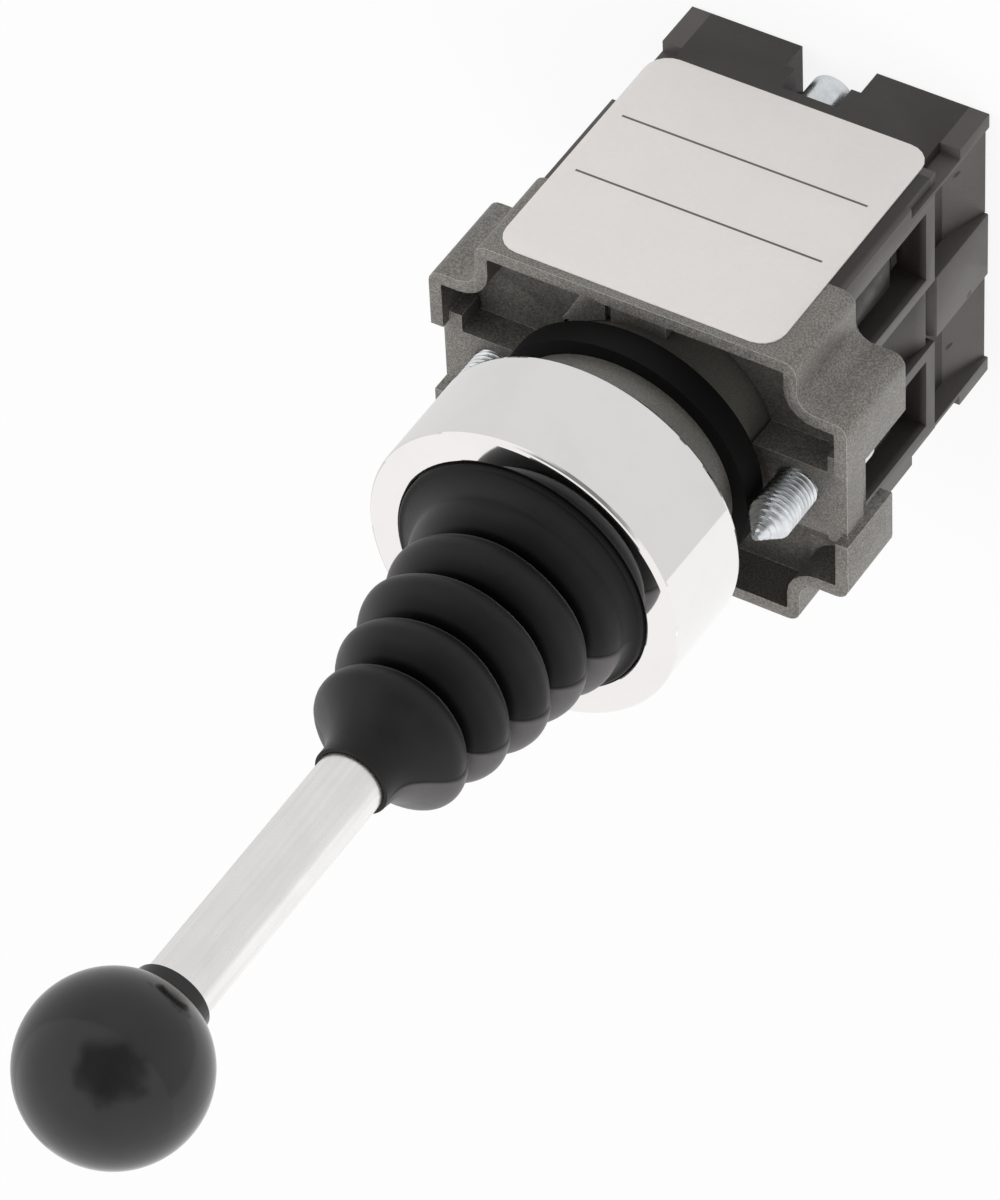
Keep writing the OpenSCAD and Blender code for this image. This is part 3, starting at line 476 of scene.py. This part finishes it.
# How far the boot is shifted in x and y at each height, and how much painted light it has there: 1 on a
# crest, 0 for the painted shade deep in a groove.
stations = [(bellows["frontHeight"] + bellows["rimHeight"], 0.0, 0.0)]
stations += [(z, *lean) for (r, z), lean in zip(bellows["crests"], bellows["lean"])]
stations += [(bellows["lipHeight"], 0.0, 0.0)]
paintedLightRows = [(bellows["frontHeight"], 0.1)]
for (r0, z0), (r1, z1) in zip(bellows["crests"], bellows["grooves"]):
    paintedLightRows += [(z0 - 0.5, 1.0), (z0 + (z1 - z0) * 0.35, 0.75), (z0 + (z1 - z0) * 0.8, 0.0),
               (z1 + 0.6, 0.0)]
paintedLightRows += [(bellows["crests"][-1][1] - 0.6, 1.0), (bellows["lipHeight"] + 1, 0.8)]


# The values at height z, going smoothly from one point of the list to the next.
def along(points, z):
    for first, second in zip(points, points[1:]):
        if first[0] <= z <= second[0]:
            t = (z - first[0]) / (second[0] - first[0])
            t *= (3 - 2 * t) * t
            return [a + (b - a) * t for a, b in zip(first[1:], second[1:])]
    return list(points[0][1:] if z < points[0][0] else points[-1][1:])


paintedLightMark = bootForm.verts.layers.float.new("crest")
sheenMark = bootForm.verts.layers.float.new("paintedSheen")
for vert in bootForm.verts:
    x, y, z = (c / mm for c in vert.co)
    radius, turn = math.hypot(x, y), math.atan2(y, x)
    vert[paintedLightMark] = along(paintedLightRows, z)[0]
    leanX, leanY = along(stations, z)
    ends = (min(1, max(0, z - bellows["leanFrom"]) / bellows["fadeIn"])
            * min(1, max(0, bellows["lipHeight"] - z) / bellows["fadeOut"]))
    swell = noise.noise(Vector((x, y, z)) * bellows["unevenScale"]) * bellows["unevenness"]
    for seamTurn, way, step, bulge in bellows["seams"]:
        beyond = ((math.degrees(turn) - seamTurn) * way + 540) % 360 - 180
        if abs(beyond) < 1:
            half = bellows["seamWidth"] * (0.5 if beyond > 0.1 else -0.5)
            turn += math.radians(way * (half - beyond))
        # Beyond the seam the boot gets a painted sheen, strongest where it bulges.
        if 0.1 < beyond < bellows["bulgeReach"]:
            swell += step * max(0, 1 - beyond / bellows["stepReach"])
            swell += bulge * math.sin(beyond * math.pi / bellows["bulgeReach"])
            vert[sheenMark] = min(1, bulge * 10) * min(1, 2 - beyond * 2 / bellows["bulgeReach"]) * ends
    # A painted sheen on the boot's left side too, growing past its start angle.
    sheenSide = min(1, max(0, (math.degrees(turn) - bellows["sheenFrom"]) / bellows["sheenReach"]))
    vert[sheenMark] = max(vert[sheenMark], bellows["sheenShare"] * sheenSide * sheenSide * ends)
    moved = radius + swell * ends
    vert.co.x = (moved * math.cos(turn) + leanX) * mm
    vert.co.y = (moved * math.sin(turn) + leanY) * mm
smooth(bootForm, 32)
boot = piece("bellowsBoot", bootForm, "rubber", None, "boot")
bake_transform(boot)
print("bellows boot:", len(boot.data.polygons), "faces")

# The finish of each dressed node, and the width of its rounded edges in mm.
edgeWidths = {
    "fixing_collar": ("zinc", 0.28), "upper_block": ("block", 0.16), "lower_block": ("block", 0.16),
    "centre_base": ("base", 0.16), "label": ("paper", 0.04), "contact_carrier": ("block", 0.12),
    "fixed_contacts": ("shadedContact", 0.08),
}
for nodeName, (finishName, width) in edgeWidths.items():
    made = piece(nodeName + "Dressed", rounded(nodeName, width), finishName, "mount_unit", nodeName)
    print("rounded:", nodeName, len(made.data.polygons), "faces")

# Each return spring is a smooth-shaded copy of its CAD node, standing in its block.
for half in ("upper", "lower"):
    form = bmesh.new()
    form.from_mesh(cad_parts[half + "_spring"].data)
    smooth(form, 50)
    coil = piece(half + "Coil", form, "steel", None, half + "_spring")
    half + "_contact"
    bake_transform(coil)

clampParts = {"x": 14.6, "radius": 2.0, "tip": -2.4, "point": 2.4, "tipRadius": 0.35, "headTop": -14.2,
              "edge": 0.14, "pitch": 0.5, "depth": 0.28, "stepsPerTurn": 32}


# A screw thread along the z axis between two heights, closed at its ends, with a conical point of
# this length; sizes in mm.
def threaded(radius, low, high, point):
    pitch, depth, tipRadius = clampParts["pitch"], clampParts["depth"], clampParts["tipRadius"]
    rows = [(radius - depth, 0), (radius - depth, 0.08 * pitch), (radius, 0.46 * pitch),
            (radius, 0.58 * pitch), (radius - depth, 0.94 * pitch), (radius - depth, pitch)]
    turns = int((high - low) / pitch) + 3
    form = bmesh.new()
    verts = [form.verts.new((r * mm, 0, (low - pitch + z) * mm)) for r, z in rows]
    edges = [form.edges.new(pair) for pair in zip(verts, verts[1:])]
    steps = clampParts["stepsPerTurn"] * turns
    bmesh.ops.spin(form, geom=verts + edges, cent=(0, 0, 0), axis=(0, 0, 1), angle=2 * math.pi * turns,
                   dvec=(0, 0, pitch * turns / steps * mm), steps=steps, use_merge=False)
    bmesh.ops.remove_doubles(form, verts=form.verts, dist=2e-6)
    for height, way in ((low, -1), (high, 1)):
        bmesh.ops.bisect_plane(form, geom=form.verts[:] + form.edges[:] + form.faces[:],
                               plane_co=(0, 0, height * mm), plane_no=(0, 0, way), clear_outer=True)
        bmesh.ops.holes_fill(form, edges=[e for e in form.edges if e.is_boundary], sides=0)
    for vert in form.verts:
        left = min(1, max(0, (high * mm - vert.co.z) / (point * mm)))
        share = (tipRadius + (radius - tipRadius) * left) / radius
        vert.co.x *= share
        vert.co.y *= share
    bmesh.ops.recalc_face_normals(form, faces=form.faces)
    smooth(form, 30)
    return form


for side, letter, stoodFor in ((-1, "L", ()), (1, "R", ("clamp_screws",))):
    form = threaded(clampParts["radius"], clampParts["headTop"] + 0.2, clampParts["tip"],
                    clampParts["point"])
    bmesh.ops.translate(form, verts=form.verts, vec=(side * clampParts["x"] * mm, 0, 0))
    piece("clampThread" + letter, form, "screw", "mount_unit", *stoodFor)
# The heads come from the CAD node, cut off where the thread begins.
heads = rounded("clamp_screws", clampParts["edge"])
bmesh.ops.bisect_plane(heads, geom=heads.verts[:] + heads.edges[:] + heads.faces[:],
                       plane_co=(0, 0, clampParts["headTop"] * mm), plane_no=(0, 0, 1), clear_outer=True)
bmesh.ops.holes_fill(heads, edges=[e for e in heads.edges if e.is_boundary], sides=0)
piece("clampHeads", heads, "screw", "mount_unit")
print("clamp screw threads made")

# In metres, and the lens in mm on a frame of 30 x 36 mm.
cameraPlace = {"eye": (0.255742, 0.470057, 0.405951), "right": (0.856806, -0.03741, -0.51428),
               "up": (-0.3423, 0.70464, -0.62154), "lens": 243.508}
camera = bpy.data.cameras.new("camera")
camera.sensor_fit, camera.sensor_height, camera.sensor_width = "VERTICAL", 36, 30
camera.lens = cameraPlace["lens"]
camera.clip_start, camera.clip_end = 0.02, 20
cameraObject = bpy.data.objects.new("camera", camera)
bpy.context.collection.objects.link(cameraObject)
right, up = Vector(cameraPlace["right"]), Vector(cameraPlace["up"])
back = right.cross(up)
turn = Matrix((right, up, back)).transposed().to_4x4()
cameraObject.matrix_world = Matrix.Translation(Vector(cameraPlace["eye"])) @ turn
bpy.context.scene.camera = cameraObject

# Metal mirrors a bright tent with one dark patch of a ragged outline, in the direction shadeFrom. In
# the floor it mirrors a bright wedge between the two directions of wallEdges, and a dimmer rest.
studio = {
    "fill": 0.50, "mirror": 1.0, "shade": 0.25, "shadeFrom": (0.386, 0.709, 0.591),
    "raggedScale": 2.3, "raggedShare": 0.5, "shadeEdge": (0.92, 1.17),
    "floorRadius": 3.0, "floorGap": 0.0003, "floorPale": (0.93, 0.925, 0.92),
    "floorCloud": (0.90, 0.895, 0.89), "floorGlow": 0.88, "mirrorGlow": 0.85,
    "dimWall": 0.755, "brightWall": 1.03, "wallEdges": ((0.979, -0.206), (-0.479, -0.878)),
}
world = bpy.data.worlds.new("studio")
world.use_nodes = True
bpy.context.scene.world = world
tree = world.node_tree
tree.nodes.clear()


def worldNode(kind, values, out=0, **settings):
    made = tree.nodes.new(kind)
    for key, value in settings.items():
        setattr(made, key, value)
    for key, value in values.items():
        if isinstance(value, bpy.types.NodeSocket):
            tree.links.new(value, made.inputs[key])
        else:
            made.inputs[key].default_value = value
    return made.outputs[out]


path = worldNode("ShaderNodeLightPath", {})
direction = worldNode("ShaderNodeTexCoord", {}, 0)
facing = worldNode("ShaderNodeVectorMath", {0: direction, 1: studio["shadeFrom"]}, 1,
                   operation="DOT_PRODUCT")
ragged = worldNode("ShaderNodeTexNoise",
                   {"Vector": direction, "Scale": studio["raggedScale"], "Detail": 2.0})
ragged = worldNode("ShaderNodeMath", {0: ragged, 1: studio["raggedShare"], 2: facing},
                   operation="MULTIPLY_ADD")
edgeFrom, edgeTo = studio["shadeEdge"]
tent = worldNode("ShaderNodeMapRange",
                 {0: ragged, 1: edgeFrom, 2: edgeTo, 3: studio["mirror"], 4: studio["shade"]},
                 interpolation_type="SMOOTHSTEP")
fill = worldNode("ShaderNodeBackground", {"Color": (1, 0.995, 0.99, 1), "Strength": studio["fill"]})
tentLight = worldNode("ShaderNodeBackground", {"Color": (1, 0.985, 0.98, 1), "Strength": tent})
white = worldNode("ShaderNodeBackground", {"Strength": 1.0})
rays = path.node.outputs
mirrored = worldNode("ShaderNodeMixShader", {0: rays["Is Glossy Ray"], 1: fill, 2: tentLight})
seen = worldNode("ShaderNodeMixShader", {0: rays["Is Camera Ray"], 1: mirrored, 2: white})
sky = tree.nodes.new("ShaderNodeOutputWorld")
tree.links.new(seen, sky.inputs[0])

floorForm = bmesh.new()
bmesh.ops.create_circle(floorForm, cap_ends=True, segments=96, radius=studio["floorRadius"])
bmesh.ops.translate(floorForm, verts=floorForm.verts, vec=(0, 0, cadBox[0].z - studio["floorGap"]))
floor = piece("floor", floorForm, "paper", None)
floorFinish = Finish("floorPale", Roughness=0.9)
tone = floorFinish.grain(400, 2, 0.5).ramp(0.3, 0.7)
floorFinish.feed("Base Color",
                 floorFinish.mix(tone * 0.5, studio["floorPale"], studio["floorCloud"]))
rays = floorFinish.node("ShaderNodeLightPath").socket.node.outputs
floorX, floorY = floorFinish.axis("X"), floorFinish.axis("Y")
(ax, ay), (bx, by) = studio["wallEdges"]
wall = (floorY * ax - floorX * ay).below(0.0) * (floorY * bx - floorX * by).above(0.0)
wall = studio["dimWall"] + wall * (studio["brightWall"] - studio["dimWall"])
cameraSees = Value(floorFinish, rays["Is Camera Ray"])
glow = floorFinish.node("ShaderNodeEmission", None,
                        {"Color": (1, 1, 1, 1), "Strength": cameraSees + (1 - cameraSees) * wall})
share = (cameraSees * studio["floorGlow"]
         + Value(floorFinish, rays["Is Glossy Ray"]) * studio["mirrorGlow"])
mixed = floorFinish.node("ShaderNodeMixShader", None,
                         {0: share, 1: floorFinish.shader.outputs[0], 2: glow})
surface = floorFinish.tree.nodes["Material Output"].inputs["Surface"]
floorFinish.tree.links.new(mixed.socket, surface)
floor.data.materials.clear()
floor.data.materials.append(floorFinish.material)
# The contact unit stands on the floor, which goes along with it when the collar is released.
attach(floor, "mount_unit")

# Places in metres from the part, sizes in metres and power in watts; metal doesn't mirror them.
lamps = {
    "keyPanel": {"from": (-1.0, 0.5, 0.9), "size": 0.9, "power": 6.0},
    "sidePanel": {"from": (1.3, -0.7, 0.25), "size": 0.9, "power": 11.0},
    "topPanel": {"from": (0.1, 0.2, 1.4), "size": 1.0, "power": 5.0},
}
for lampName, lamp in lamps.items():
    data = bpy.data.lights.new(lampName, "AREA")
    data.shape, data.size, data.energy = "SQUARE", lamp["size"], lamp["power"]
    made = bpy.data.objects.new(lampName, data)
    bpy.context.collection.objects.link(made)
    made.location = lamp["from"]
    made.rotation_euler = Vector(lamp["from"]).to_track_quat("Z", "Y").to_euler()
    made.visible_glossy = False

bpy.context.scene.view_settings.view_transform = "Standard"
print("pieces ready")
